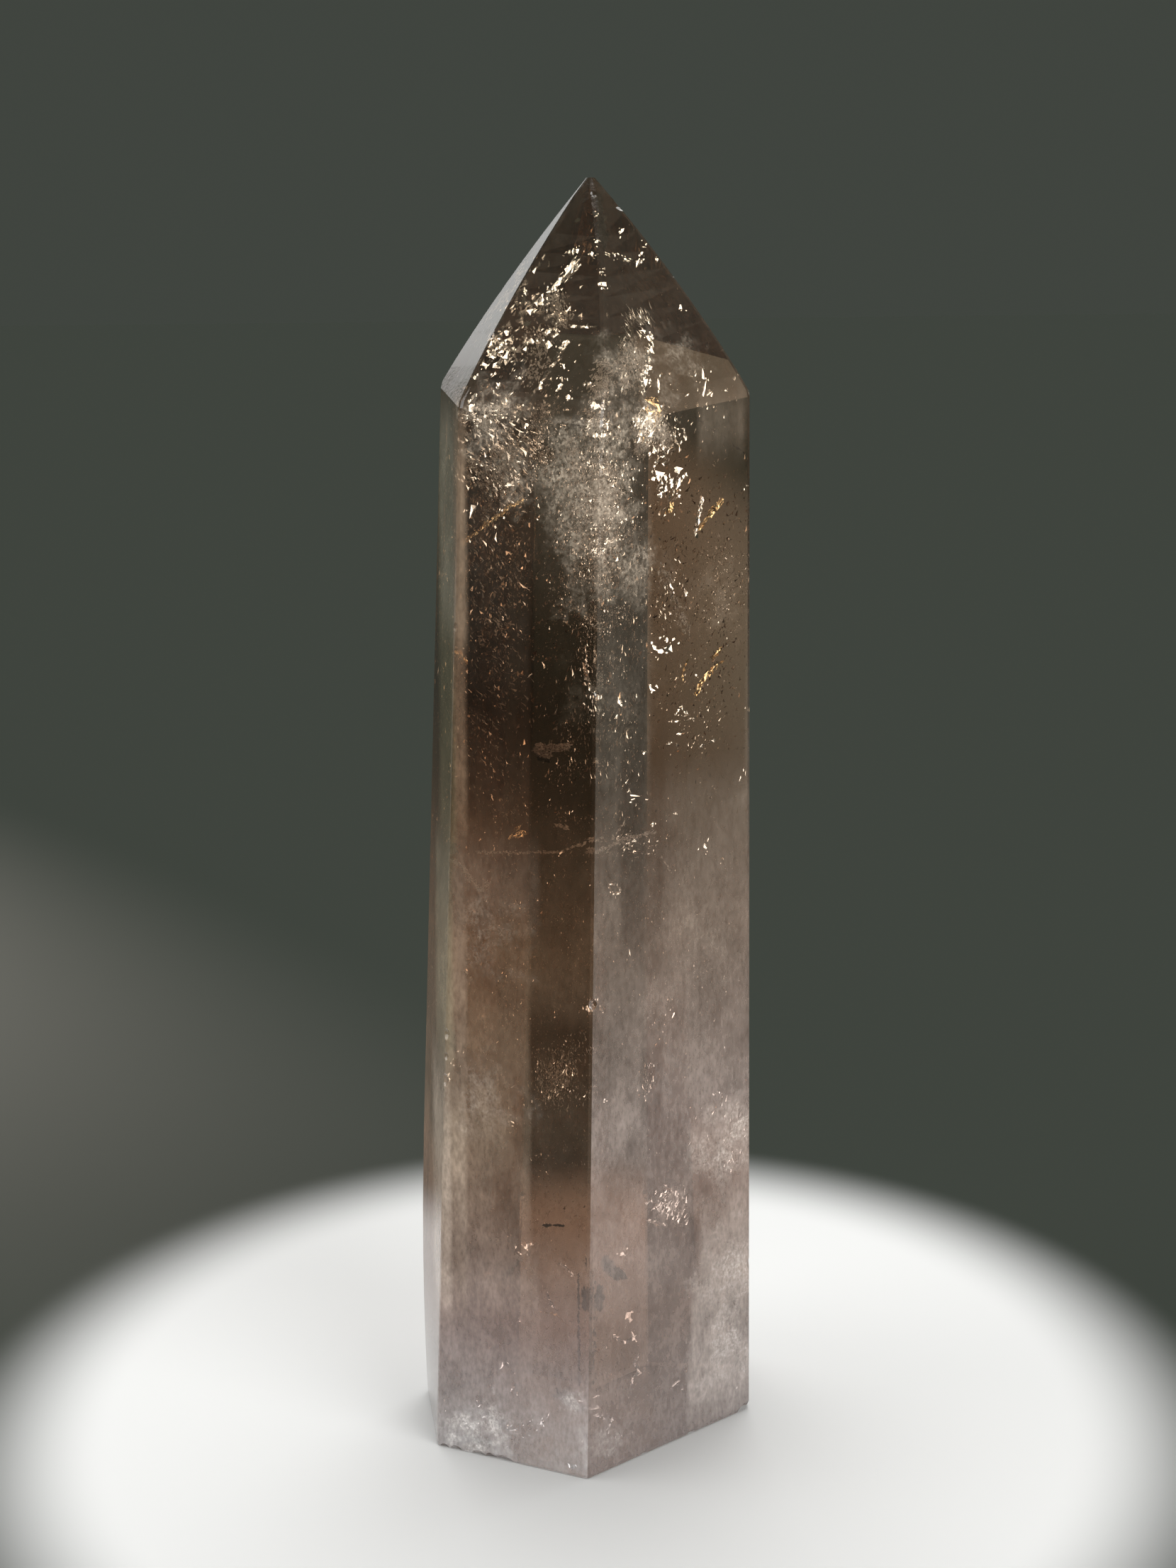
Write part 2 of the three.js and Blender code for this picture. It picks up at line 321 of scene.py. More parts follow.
# Glints seen singly: column and row, length and width in pixels, and lean from upright to the right in
# degrees
GLINTS = (
    # on and beside the point
    (806, 380, 26, 11, 38), (805, 356, 6, 5, 0), (814, 354, 7, 5, 20), (787, 400, 11, 6, 55),
    (780, 406, 8, 6, 40), (764, 425, 11, 7, 35), (741, 412, 8, 6, 0), (835, 359, 6, 4, 0),
    (867, 360, 6, 4, -20), (884, 367, 8, 4, -50), (900, 371, 14, 8, 60), (902, 361, 7, 3, 15),
    (911, 345, 6, 3, 40), (926, 366, 5, 4, -40), (877, 326, 10, 3, 28), (841, 301, 4, 3, 0),
    (842, 340, 6, 3, 0), (850, 384, 5, 4, 0), (851, 401, 8, 6, 0), (960, 435, 6, 4, 60),
    # left of the middle
    (772, 469, 11, 7, 60), (785, 466, 7, 6, 30), (774, 487, 9, 8, 0), (799, 484, 12, 6, 42),
    (789, 492, 7, 5, 40), (750, 482, 13, 6, -40), (715, 470, 8, 7, 0), (709, 487, 8, 7, 0),
    (701, 492, 6, 6, 0), (695, 498, 7, 6, 40), (716, 501, 15, 9, 20), (683, 516, 8, 8, 0),
    (700, 515, 12, 9, 50), (671, 534, 9, 9, 0), (702, 544, 10, 6, -20), (734, 535, 6, 6, 0),
    (667, 560, 10, 6, 20), (665, 575, 11, 8, 0), (675, 593, 7, 7, 0), (686, 590, 8, 7, 0),
    (659, 588, 7, 5, 50), (734, 612, 9, 4, 40), (742, 601, 10, 4, 45), (721, 683, 14, 6, 78),
    (706, 686, 10, 4, 10), (733, 675, 9, 5, 60), (748, 690, 9, 4, -30), (667, 720, 19, 9, 30),
    (704, 723, 8, 6, 30), (758, 733, 4, 3, 0),
    # the middle
    (796, 516, 9, 3, -20), (794, 536, 8, 3, 0), (801, 560, 8, 7, 0), (839, 571, 10, 10, 0),
    (832, 540, 8, 7, 0), (856, 601, 7, 6, 0), (849, 613, 6, 5, 0), (834, 595, 15, 4, 62),
    (832, 605, 12, 4, 55), (848, 777, 7, 5, 0), (857, 765, 10, 3, 80), (790, 545, 9, 6, 40),
    # right of the middle
    (919, 490, 9, 5, 20), (915, 477, 7, 6, 0), (907, 467, 6, 6, 0), (917, 519, 6, 5, 0),
    (909, 526, 11, 5, 10), (912, 540, 9, 6, 20), (928, 542, 13, 4, 0), (991, 527, 15, 5, 18),
    (993, 551, 24, 4, 24), (1024, 550, 5, 4, 0), (918, 588, 20, 12, 0), (914, 600, 10, 6, 10),
    (922, 636, 10, 8, 0), (957, 664, 13, 12, 40), (930, 671, 15, 13, 0), (947, 679, 9, 7, 0),
    (940, 689, 9, 8, 0), (957, 684, 14, 4, 0), (957, 699, 6, 6, 0), (932, 698, 8, 6, 40),
    (967, 836, 9, 4, -20), (947, 827, 11, 4, -12), (1056, 554, 10, 4, 0), (1058, 688, 9, 3, 0),
    # half way down
    (828, 955, 15, 8, -20), (833, 972, 9, 7, 30), (841, 991, 13, 6, 0), (840, 1001, 9, 5, 0),
    (827, 933, 5, 3, 0), (923, 913, 8, 7, 40), (933, 918, 11, 8, 70), (943, 916, 11, 10, 30),
    (940, 902, 7, 4, -40), (919, 971, 11, 7, -42), (875, 990, 8, 6, -30), (870, 1010, 7, 3, 0),
    (982, 953, 3, 3, 0), (895, 1123, 13, 3, 78), (908, 1062, 5, 4, 0), (953, 1148, 3, 3, 0),
    (922, 1163, 6, 5, 0), (993, 1193, 12, 5, 20), (996, 1195, 9, 4, -40), (791, 1203, 5, 3, 60),
    (1057, 950, 24, 4, 0), (1057, 1000, 10, 3, 0), (1058, 1100, 18, 3, 0), (635, 1052, 4, 3, 0),
    # lower down
    (632, 1490, 13, 8, 0), (633, 1519, 12, 11, 30), (612, 1494, 14, 5, 10), (722, 1583, 9, 3, -65),
    (950, 1432, 11, 3, 30), (1007, 1545, 3, 3, 0), (1015, 1542, 4, 3, 0), (853, 1552, 5, 4, 0),
    (742, 1759, 17, 10, -35), (744, 1757, 12, 5, 30), (878, 1768, 9, 6, 60), (887, 1858, 13, 11, 20),
    (893, 1885, 14, 7, -40), (733, 1863, 5, 3, 0), (707, 1928, 12, 6, 70), (952, 1952, 15, 4, 75),
    (838, 1987, 20, 7, 85), (765, 2008, 6, 5, 0), (1040, 1958, 5, 4, 0), (838, 1420, 12, 5, 0),
)

# Thin fractures and trails: their points (column and row), width and fleck size in pixels, and how many
# flecks are tried
BRIGHT_TRAILS = (
    (((796, 358), (835, 358), (868, 362), (905, 370)), 14, 2.4, 30),
    (((814, 366), (800, 388), (782, 405), (776, 430), (785, 458), (770, 472)), 18, 4.0, 90),
    (((795, 486), (782, 512), (760, 545)), 6, 4.0, 60),
    (((810, 460), (842, 461)), 3, 2.5, 26),
    (((918, 470), (917, 500), (909, 530), (908, 560)), 7, 3.5, 80),
    (((652, 586), (675, 594), (706, 586)), 8, 3.5, 60),
    (((990, 701), (987, 722), (981, 753)), 2.5, 3.6, 110),
    (((950, 627), (937, 642), (924, 653), (920, 668)), 4, 3.0, 46),
    (((951, 606), (964, 604), (967, 618), (957, 628), (950, 618), (951, 606)), 3, 2.2, 44),
    (((825, 938), (828, 960), (836, 975)), 5, 3.0, 24),
    (((960, 997), (972, 1010), (952, 1009), (960, 997)), 2, 2.0, 34),
    (((943, 1018), (963, 1017), (980, 1013)), 2, 2.0, 24),
    (((953, 1037), (964, 1034)), 2, 2.5, 14),
    (((940, 1050), (948, 1047), (957, 1052)), 2, 2.5, 20),
    (((983, 1057), (996, 1049), (1007, 1045)), 2, 2.5, 20),
    (((857, 1248), (870, 1246), (877, 1256), (866, 1262), (857, 1248)), 4, 2.2, 44),
    (((790, 1783), (798, 1787), (807, 1799)), 2, 3.4, 40),
    (((772, 1825), (778, 1840), (784, 1847)), 2, 3.4, 40),
    (((902, 1910), (896, 1922), (901, 1936), (893, 1941), (889, 1955)), 2.5, 4.0, 80),
    (((867, 1885), (882, 1894), (896, 1885)), 3, 3.6, 50),
    (((722, 1960), (731, 1954), (728, 1968)), 2, 3.6, 36),
    (((840, 1997), (863, 2002), (857, 2017)), 4, 3.8, 60),
    (((800, 2064), (823, 2076)), 6, 3.8, 40),
    (((925, 1720), (962, 1682)), 5, 4.0, 50),
    (((930, 1690), (958, 1712)), 5, 4.0, 40),
    (((914, 1722), (940, 1728)), 4, 3.6, 30),
    (((935, 1672), (968, 1690)), 4, 3.6, 30),
    (((948, 1678), (940, 1722)), 5, 4.0, 40),
    (((655, 2010), (690, 1998), (712, 2016)), 8, 3.4, 50),
)
PALE_TRAILS = (
    (((738, 372), (728, 400), (703, 432), (688, 447)), 9, 4.4, 90),
    (((780, 414), (788, 436), (794, 458)), 26, 2.4, 260),
    (((757, 470), (765, 500), (748, 540)), 40, 2.4, 300),
    (((887, 480), (893, 510), (880, 545)), 34, 2.4, 320),
    (((835, 560), (846, 530), (870, 515)), 34, 2.4, 240),
    (((900, 600), (905, 622), (900, 640)), 22, 2.4, 200),
    (((930, 600), (942, 620), (930, 640)), 28, 2.4, 200),
    (((850, 680), (862, 705), (876, 728)), 30, 2.2, 300),
    (((802, 620), (806, 660), (808, 700)), 22, 2.2, 200),
    (((936, 800), (952, 850), (972, 900)), 18, 2.4, 200),
    (((667, 1202), (740, 1203), (790, 1202), (813, 1193), (840, 1183)), 4, 2.4, 170),
    (((842, 1203), (880, 1184), (923, 1173)), 6, 2.8, 150),
    (((880, 1160), (865, 1182)), 3, 2.2, 30),
    (((933, 1209), (940, 1220), (947, 1232)), 2, 2.2, 26),
    (((637, 1212), (653, 1223), (667, 1243), (680, 1258), (690, 1245)), 6, 3.0, 110),
    (((758, 1052), (778, 1056), (801, 1054)), 6, 4.4, 240),
    (((757, 1060), (775, 1066)), 6, 4.4, 150),
    (((786, 1164), (799, 1168)), 6, 3.0, 30),
    (((655, 1368), (666, 1382)), 3, 2.2, 16),
    (((627, 1683), (645, 1708), (665, 1731)), 3, 2.4, 60),
    (((667, 1741), (702, 1751)), 8, 3.4, 260),
    (((664, 1652), (670, 1666)), 6, 2.4, 26),
    (((727, 1770), (735, 1776)), 5, 3.0, 24),
    (((1014, 1590), (1017, 1640), (1019, 1700)), 14, 3.0, 150),
    (((1010, 1846), (1014, 1864)), 6, 3.6, 50),
    (((787, 1966), (806, 1974)), 12, 4.5, 180),
    (((797, 1978), (822, 1988)), 7, 4.0, 130),
    (((857, 1962), (910, 1958)), 3, 2.2, 30),
    (((643, 1990), (680, 1992), (714, 2012)), 10, 3.4, 150),
    (((650, 2028), (690, 2034)), 12, 3.2, 110),
    (((1040, 1972), (1046, 1976)), 5, 3.2, 20),
)
GOLDEN_TRAILS = (
    (((653, 766), (680, 745), (705, 724), (737, 705)), 7, 3.0, 130),
    (((912, 564), (926, 563)), 5, 4.0, 40),
    (((922, 571), (930, 580), (922, 592)), 12, 5.0, 60),
    (((915, 580), (912, 604), (906, 628)), 9, 4.0, 60),
    (((1017, 708), (1008, 718), (1001, 727)), 4, 5.0, 110),
    (((1000, 728), (986, 747)), 2, 2.8, 50),
    (((944, 722), (948, 711)), 6, 4.0, 24),
    (((1018, 914), (1005, 929)), 3, 3.2, 26),
    (((1017, 934), (998, 951), (990, 962), (982, 979)), 5, 3.4, 80),
    (((970, 932), (962, 950), (964, 964)), 2, 2.6, 26),
    (((718, 1184), (724, 1174), (735, 1165)), 2, 2.6, 26),
    (((724, 1181), (736, 1172), (743, 1176), (730, 1181)), 3, 3.2, 50),
    (((648, 922), (658, 934)), 8, 3.4, 24),
    (((760, 1850), (783, 1853), (803, 1873)), 2, 2.2, 26),
)
DARK_TRAILS_AND_REFLECTION = (
    # painted reflection: dark flecks stand for the dark wedge reflected in the point's face right of the
    # front ridge
    (((843, 268), (848, 300), (853, 345)), 8, 4.5, 160),
    (((811, 594), (818, 599), (824, 594)), 8, 5.0, 40),
    (((862, 592), (866, 600)), 3, 3.0, 10),
    (((983, 590), (1003, 606), (1020, 614), (1034, 628), (1050, 639)), 3, 2.2, 50),
    (((640, 1192), (641, 1200)), 7, 4.0, 24),
    (((816, 1797), (817, 1956)), 1.5, 3.0, 150),
    (((845, 1818), (845, 1844)), 8, 5.0, 120),
    (((733, 1778), (724, 1787), (714, 1797)), 3.5, 4.4, 60),
    (((852, 1782), (862, 1792), (878, 1797)), 5, 6.5, 150),
    (((855, 1780), (862, 1788)), 8, 7.5, 90),
    (((862, 1797), (872, 1806)), 3, 4.0, 36),
    (((983, 1825), (988, 1834)), 3, 4.0, 24),
    (((638, 1457), (641, 1480)), 5, 5.0, 60),
    (((638, 1600), (642, 1627)), 3, 3.0, 30),
    (((767, 1728), (797, 1729)), 2.5, 2.6, 34),
    (((758, 1070), (776, 1074)), 3, 3.0, 20),
)

# How far flecks are turned at random from facing the light: a little for those that glint
PALE_TILT = 0.6
TRAIL_TILT = 0.2
GLINT_TILT = 0.12

# Flakes: how many corners they have and how ragged they are, in fields, in trails and as single glints
FIELD_SHAPE = (3, 0.4)
TRAIL_SHAPE = (4, 0.5)
GLINT_SHAPE = (5, 0.6)

# How far the long side of a flake strays from its direction and a corner from its place, the share of its
# raggedness that goes outwards, and how high it is, as a share of half its width
LONG_WAY_STRAY = 0.25
CORNER_STRAY = 0.3
RAGGED_OUTWARDS = 0.7
FLAKE_RISE = 0.06

# Sizes scattered round 1: how widely in fields and in trails, and the smallest and largest
FIELD_SCATTER = 0.5
TRAIL_SCATTER = 0.35
SIZE_LIMITS = (0.4, 1.9)

# Flecks lie in clumps: the size of large and small ones, how much the small ones count, and the limits of
# the draw that a fleck has to pass
CLUMP_MM = 2.4
SMALL_CLUMP_MM = 0.7
SMALL_CLUMPS = 0.6
CLUMP_DRAW = (-0.15, 0.45)

# A line of sight goes on inside from this far past the face, in mm; and flaws below a face mirror the key
# light only if that comes in steeper than this (cosine)
PAST_FACE_MM = 0.01
GRAZING = 0.1

# Trails: how many times longer than wide their flecks are, and how deep they lie (shares as for the
# fields)
TRAIL_STRETCH = 2.0
TRAIL_DEPTHS = (0.05, 0.12)

# A single glint and its shards: how many they are together, how far the shards scatter (in lengths of the
# glint), how large they are (shares of the glint), how deep all lie, how far from the skin they stay (in
# lengths), and how much larger they are made than they look
GLINT_SHARDS = 5
SHARD_SCATTER = 0.5
SHARD_SIZES = (0.2, 0.5)
GLINT_DEPTHS = (0.04, 0.10)
GLINT_MARGIN = 0.35
GLINT_ENLARGED = 1.15

# Flecks spread through the whole crystal: how many, their size in mm, how many times longer than wide, how
# far from the skin they stay, how likely one is kept at least, and at which shares of the height it is
# likelier, over what spread and by how much
SPREAD_FLECKS = 2500
SPREAD_SIZE = 0.10
SPREAD_STRETCH = 1.8
SPREAD_MARGIN = 0.3 * MM
SPREAD_LEAST = 0.25
SPREAD_LEVELS = ((0.72, 0.14, 0.75), (0, 0.12, 0.5))

# Flecks below the faces that the photograph doesn't show, thickest at the same height as those in front:
# how many are pale and how many glint, how deep they lie at most, and at least as a share of that, how
# high up they end, and their lean; the rest is as above
HIDDEN_PALE = 1500
HIDDEN_GLINTS = 1500
HIDDEN_DEPTH = 4 * MM
HIDDEN_LEAST_DEPTH = 0.1
HIDDEN_TOP = 84 * MM
HIDDEN_LEAN = 25
HIDDEN_SIZE = 0.18
HIDDEN_STRETCH = 1.9
HIDDEN_MARGIN = 0.4 * MM
HIDDEN_LEAST = 0.1
HIDDEN_LEVELS = ((0.70, 0.10, 0.9),)

# Kinds of flecks: their duller and brighter colour, how metallic and how rough they are
MILKY_FLECK = ((0.14, 0.11, 0.09, 1), (0.96, 0.92, 0.88, 1), 0, 0.5)
MIRROR_FLECK = ((0.92, 0.90, 0.88, 1), (0.99, 0.99, 0.99, 1), 1, 0.18)
GOLDEN_FLECK = ((0.75, 0.50, 0.26, 1), (0.98, 0.85, 0.58, 1), 1, 0.25)
# dark flecks, which at the point also paint a dark reflection
DARK_FLECK_AND_REFLECTION = ((0.02, 0.016, 0.012, 1), (0.06, 0.05, 0.04, 1), 0, 0.6)

RANDOM_SEED = 7


def camera_turning():
    """The camera's own directions: to its right, up, and back towards it"""
    aim = Euler((math.pi / 2 - CAMERA_TIP, 0, CAMERA_TURN)).to_matrix()
    lean = Matrix.Rotation(CAMERA_LEAN, 3, "Z")
    return aim @ lean


def make_camera():
    data = bpy.data.cameras.new("camera")
    data.sensor_width = SENSOR_MM
    data.lens = FOCAL_LENGTH_PX * SENSOR_MM / PHOTO_HEIGHT_PX
    data.clip_start = CLIP_START
    data.clip_end = CLIP_END
    camera = bpy.data.objects.new("camera", data)
    camera.matrix_world = Matrix.Translation(CAMERA_PLACE) @ camera_turning().to_4x4()
    bpy.context.scene.collection.objects.link(camera)
    bpy.context.scene.camera = camera


def new_material(name):
    material = bpy.data.materials.new(name)
    material.use_nodes = True
    return material, material.node_tree


def give(tree, value, socket):
    """Links what another node puts out to a socket, or sets the socket to a plain value"""
    if isinstance(value, bpy.types.NodeSocket):
        tree.links.new(value, socket)
    else:
        socket.default_value = value


def math_node(tree, operation, first, second):
    node = tree.nodes.new("ShaderNodeMath")
    node.operation = operation
    give(tree, first, node.inputs[0])
    give(tree, second, node.inputs[1])
    return node.outputs["Value"]


def vector_node(tree, operation, first, second, result="Vector"):
    node = tree.nodes.new("ShaderNodeVectorMath")
    node.operation = operation
    give(tree, first, node.inputs[0])
    give(tree, second, node.inputs[1])
    return node.outputs[result]


def ranged(tree, value, start, end, at_start, at_end, smooth=False):
    """A value spread from one range over another, and held at the ends"""
    node = tree.nodes.new("ShaderNodeMapRange")
    if smooth:
        node.interpolation_type = "SMOOTHSTEP"
    node.inputs["From Min"].default_value = start
    node.inputs["From Max"].default_value = end
    node.inputs["To Min"].default_value = at_start
    node.inputs["To Max"].default_value = at_end
    tree.links.new(value, node.inputs["Value"])
    return node.outputs["Result"]


def mixed_colour(tree, share, first, second):
    mix = tree.nodes.new("ShaderNodeMix")
    mix.data_type = "RGBA"
    give(tree, first, mix.inputs["A"])
    give(tree, second, mix.inputs["B"])
    tree.links.new(share, mix.inputs["Factor"])
    return mix.outputs["Result"]


def painted_side_pool_fade(tree, place):
    """0 in the middle of the long painted pool of light and 1 outside it"""
    turned = tree.nodes.new("ShaderNodeMapping")
    turned.inputs["Rotation"].default_value = (0, 0, -PAINTED_SIDE_POOL_WAY)
    tree.links.new(place, turned.inputs["Vector"])
    shifted = vector_node(tree, "SUBTRACT", turned.outputs["Vector"], (0, PAINTED_SIDE_POOL_MIDDLE, 0))
    size = (1 / PAINTED_SIDE_POOL_WIDTH, 1 / PAINTED_SIDE_POOL_LENGTH, 0)
    scaled = vector_node(tree, "MULTIPLY", shifted, size)
    aside = vector_node(tree, "LENGTH", scaled, (0, 0, 0), "Value")
    return ranged(tree, aside, PAINTED_SIDE_POOL_FULL, 1, 0, 1, smooth=True)


def floor_material():
    material, tree = new_material("floor_painted_light_pools")
    shader = tree.nodes["Principled BSDF"]
    shader.inputs["Roughness"].default_value = FLOOR_ROUGHNESS
    shader.inputs["Specular IOR Level"].default_value = 0
    place = tree.nodes.new("ShaderNodeNewGeometry").outputs["Position"]
    distance = vector_node(tree, "LENGTH", place, (0, 0, 0), "Value")
    # painted light: a pale painted pool round the crystal, fading to painted darker ground and a fainter
    # painted side pool
    fade = ranged(tree, distance, PAINTED_POOL_RADIUS, PAINTED_POOL_RADIUS + PAINTED_POOL_FADE, 0, 1, smooth=True)
    far = mixed_colour(tree, painted_side_pool_fade(tree, place), FLOOR_PAINTED_SIDE_POOL, FLOOR_PAINTED_DARK)
    tree.links.new(mixed_colour(tree, fade, FLOOR_PAINTED_POOL, far), shader.inputs["Base Color"])
    return material


def make_stage():
    mesh = bpy.data.meshes.new("floor")
    square = ((-1, -1), (1, -1), (1, 1), (-1, 1))
    corners = [(x * FLOOR_REACH, y * FLOOR_REACH, -FLOOR_GAP) for x, y in square]
    mesh.from_pydata(corners, [], [(0, 1, 2, 3)])
    mesh.materials.append(floor_material())
    floor = bpy.data.objects.new("floor", mesh)
    bpy.context.scene.collection.objects.link(floor)


def make_lights():
    """A dim even surround with broad soft lights in it"""
    world = bpy.data.worlds.new("studio")
    world.use_nodes = True
    tree = world.node_tree
    direction = tree.nodes.new("ShaderNodeTexCoord").outputs["Generated"]
    strength = 0
    for way, edge, full, bright in SOFT_LIGHTS:
        towards = vector_node(tree, "DOT_PRODUCT", direction, Vector(way).normalized(), "Value")
        glow = ranged(tree, towards, edge, full, 0, bright, smooth=True)
        strength = math_node(tree, "ADD", glow, strength)
    soft = tree.nodes["Background"]
    soft.inputs["Color"].default_value = LIGHT_COLOUR
    tree.links.new(strength, soft.inputs["Strength"])
    around = tree.nodes.new("ShaderNodeBackground")
    around.inputs["Color"].default_value = SURROUNDINGS
    both = tree.nodes.new("ShaderNodeAddShader")
    tree.links.new(soft.outputs["Background"], both.inputs[0])
    tree.links.new(around.outputs["Background"], both.inputs[1])
    tree.links.new(both.outputs["Shader"], tree.nodes["World Output"].inputs["Surface"])
    bpy.context.scene.world = world


def height_ramp(tree, up, stops):
    """A ramp over the height of the crystal, with stops at heights in mm"""
    ramp = tree.nodes.new("ShaderNodeValToRGB")
    elements = ramp.color_ramp.elements
    while len(elements) < len(stops):
        elements.new(0.5)
    for element, (level, colour) in zip(elements, stops):
        element.position = level * MM / height
        element.color = colour
    tree.links.new(up, ramp.inputs["Fac"])
    return ramp.outputs["Color"]


def drawn_noise(tree, place, grain_mm, stretch, detail, darkest, lightest):
    """Noise of a grain in mm, drawn out upwards, as a number between two values"""
    scale = Vector((1, 1, 1 / stretch)) / (grain_mm * MM)
    scaled = vector_node(tree, "MULTIPLY", place, scale)
    cloud = tree.nodes.new("ShaderNodeTexNoise")
    cloud.inputs["Scale"].default_value = 1
    cloud.inputs["Detail"].default_value = detail
    cloud.inputs["Roughness"].default_value = NOISE_ROUGHNESS
    tree.links.new(scaled, cloud.inputs["Vector"])
    return ranged(tree, cloud.outputs["Fac"], *NOISE_RANGE, darkest, lightest)


def face_mark(tree, name):
    """What the faces are marked with under a name"""
    node = tree.nodes.new("ShaderNodeAttribute")
    node.attribute_name = name
    return node.outputs["Fac"]


def across(point):
    """How far to the right a point lies, as the photograph is seen"""
    return point.dot(turning.col[0])


def band(tree, value, start, end, blur):
    """1 between two values and 0 outside them"""
    rise = ranged(tree, value, start - blur, start + blur, 0, 1, smooth=True)
    fall = ranged(tree, value, end - blur, end + blur, 1, 0, smooth=True)
    return math_node(tree, "MULTIPLY", rise, fall)


def drawn_vector(tree, place, grain_mm, reach):
    """A noisy step to any side, to stir a pattern with"""
    cloud = tree.nodes.new("ShaderNodeTexNoise")
    cloud.inputs["Scale"].default_value = 1 / (grain_mm * MM)
    cloud.inputs["Detail"].default_value = STIR_DETAIL
    tree.links.new(place, cloud.inputs["Vector"])
    centred = vector_node(tree, "SUBTRACT", cloud.outputs["Color"], (0.5, 0.5, 0.5))
    return vector_node(tree, "MULTIPLY", centred, (2 * reach, 2 * reach, 2 * reach))


def cloud_nodes(tree, place):
    """All the clouds together, wispy and torn"""
    wide = drawn_vector(tree, place, *WIDE_STIR)
    fine = drawn_vector(tree, place, *FINE_STIR)
    near = vector_node(tree, "ADD", place, fine)
    stirred = vector_node(tree, "ADD", near, wide)
    clouds = 0
    for column, row, radius, strength in MILK_CLOUDS:
        where = near if radius < SMALL_CLOUD else stirred
        middle = seen_inside(column, row, 0)[0]
        distance = vector_node(tree, "DISTANCE", where, middle, "Value")
        ball = ranged(tree, distance, 0, radius * MM, strength, 0, smooth=True)
        clouds = math_node(tree, "ADD", ball, clouds)
    clouds = math_node(tree, "MULTIPLY", clouds, drawn_noise(tree, stirred, *CLOUD_TEARS))
    return math_node(tree, "MULTIPLY", clouds, drawn_noise(tree, place, *CLOUD_GRAIN))


def patch(tree, place, columns, rows, on_right):
    """1 in an upright patch of the photograph, on one side of the front edge, and 0 outside it"""
    middle = (sum(columns) / 2, sum(rows) / 2)
    left, right = [across(seen_inside(column, middle[1], 0)[0]) for column in columns]
    top, bottom = [seen_inside(middle[0], row, 0)[0].z for row in rows]
    aside = vector_node(tree, "DOT_PRODUCT", place, turning.col[0], "Value")
    level = vector_node(tree, "DOT_PRODUCT", place, (0, 0, 1), "Value")
    upright = band(tree, aside, left, right, BAND_BLUR)
    inside = math_node(tree, "MULTIPLY", upright, band(tree, level, bottom, top, BAND_FADE))
    side = ranged(tree, face_mark(tree, "right_side"), 0, 1, 1 - on_right, on_right)
    return math_node(tree, "MULTIPLY", inside, side)


def milk_and_painted_light_nodes(tree, place, up):
    """How milky a point is, and its colour: the milk's own, with painted light, shade and reflection"""
    milk = height_ramp(tree, up, [(level, (much, much, much, 1)) for level, much in MILK])
    for columns, rows, on_right, left_over in MILK_BANDS:
        inside = patch(tree, place, columns, rows, on_right)
        milk = math_node(tree, "MULTIPLY", milk, ranged(tree, inside, 0, 1, 1, left_over))
    # painted light and shade: the milk takes another colour on the faces left and right of the front edge
    left = height_ramp(tree, up, MILK_AND_SHADE_LEFT)
    right = height_ramp(tree, up, MILK_AND_SHADE_RIGHT)
    colour = mixed_colour(tree, face_mark(tree, "right_side"), left, right)
    # some strips are painted reflection: the pale and green-yellow tint of the narrow left face
    for columns, rows, on_right, strength, tint in MILK_AND_REFLECTION_STRIPS:
        inside = patch(tree, place, columns, rows, on_right)
        strip = ranged(tree, inside, 0, 1, 0, strength)
        milk = math_node(tree, "ADD", milk, strip)
        colour = mixed_colour(tree, math_node(tree, "DIVIDE", strip, milk), colour, tint)
    for settings in MILK_NOISES:
        milk = math_node(tree, "MULTIPLY", milk, drawn_noise(tree, place, *settings))
    clouds = cloud_nodes(tree, place)
    milk = math_node(tree, "ADD", milk, clouds)
    cloudy = math_node(tree, "DIVIDE", clouds, milk)
    colour = mixed_colour(tree, cloudy, colour, height_ramp(tree, up, CLOUD_COLOUR))
    return milk, colour


def with_wear(tree, value, wear, sawn, where_worn, where_sawn):
    """A value, and more of it on worn edges and on the sawn base"""
    value = math_node(tree, "ADD", value, math_node(tree, "MULTIPLY", wear, where_worn))
    return math_node(tree, "ADD", value, math_node(tree, "MULTIPLY", sawn, where_sawn))


def grain_bump(tree, place, wear, sawn):
    grain = math_node(tree, "ADD", wear, sawn)
    grain = math_node(tree, "MULTIPLY", grain, drawn_noise(tree, place, *BUMP_NOISE))
    bump = tree.nodes.new("ShaderNodeBump")
    bump.inputs["Strength"].default_value = BUMP_STRENGTH
    bump.inputs["Distance"].default_value = BUMP_DEPTH
    tree.links.new(grain, bump.inputs["Height"])
    return bump.outputs["Normal"]


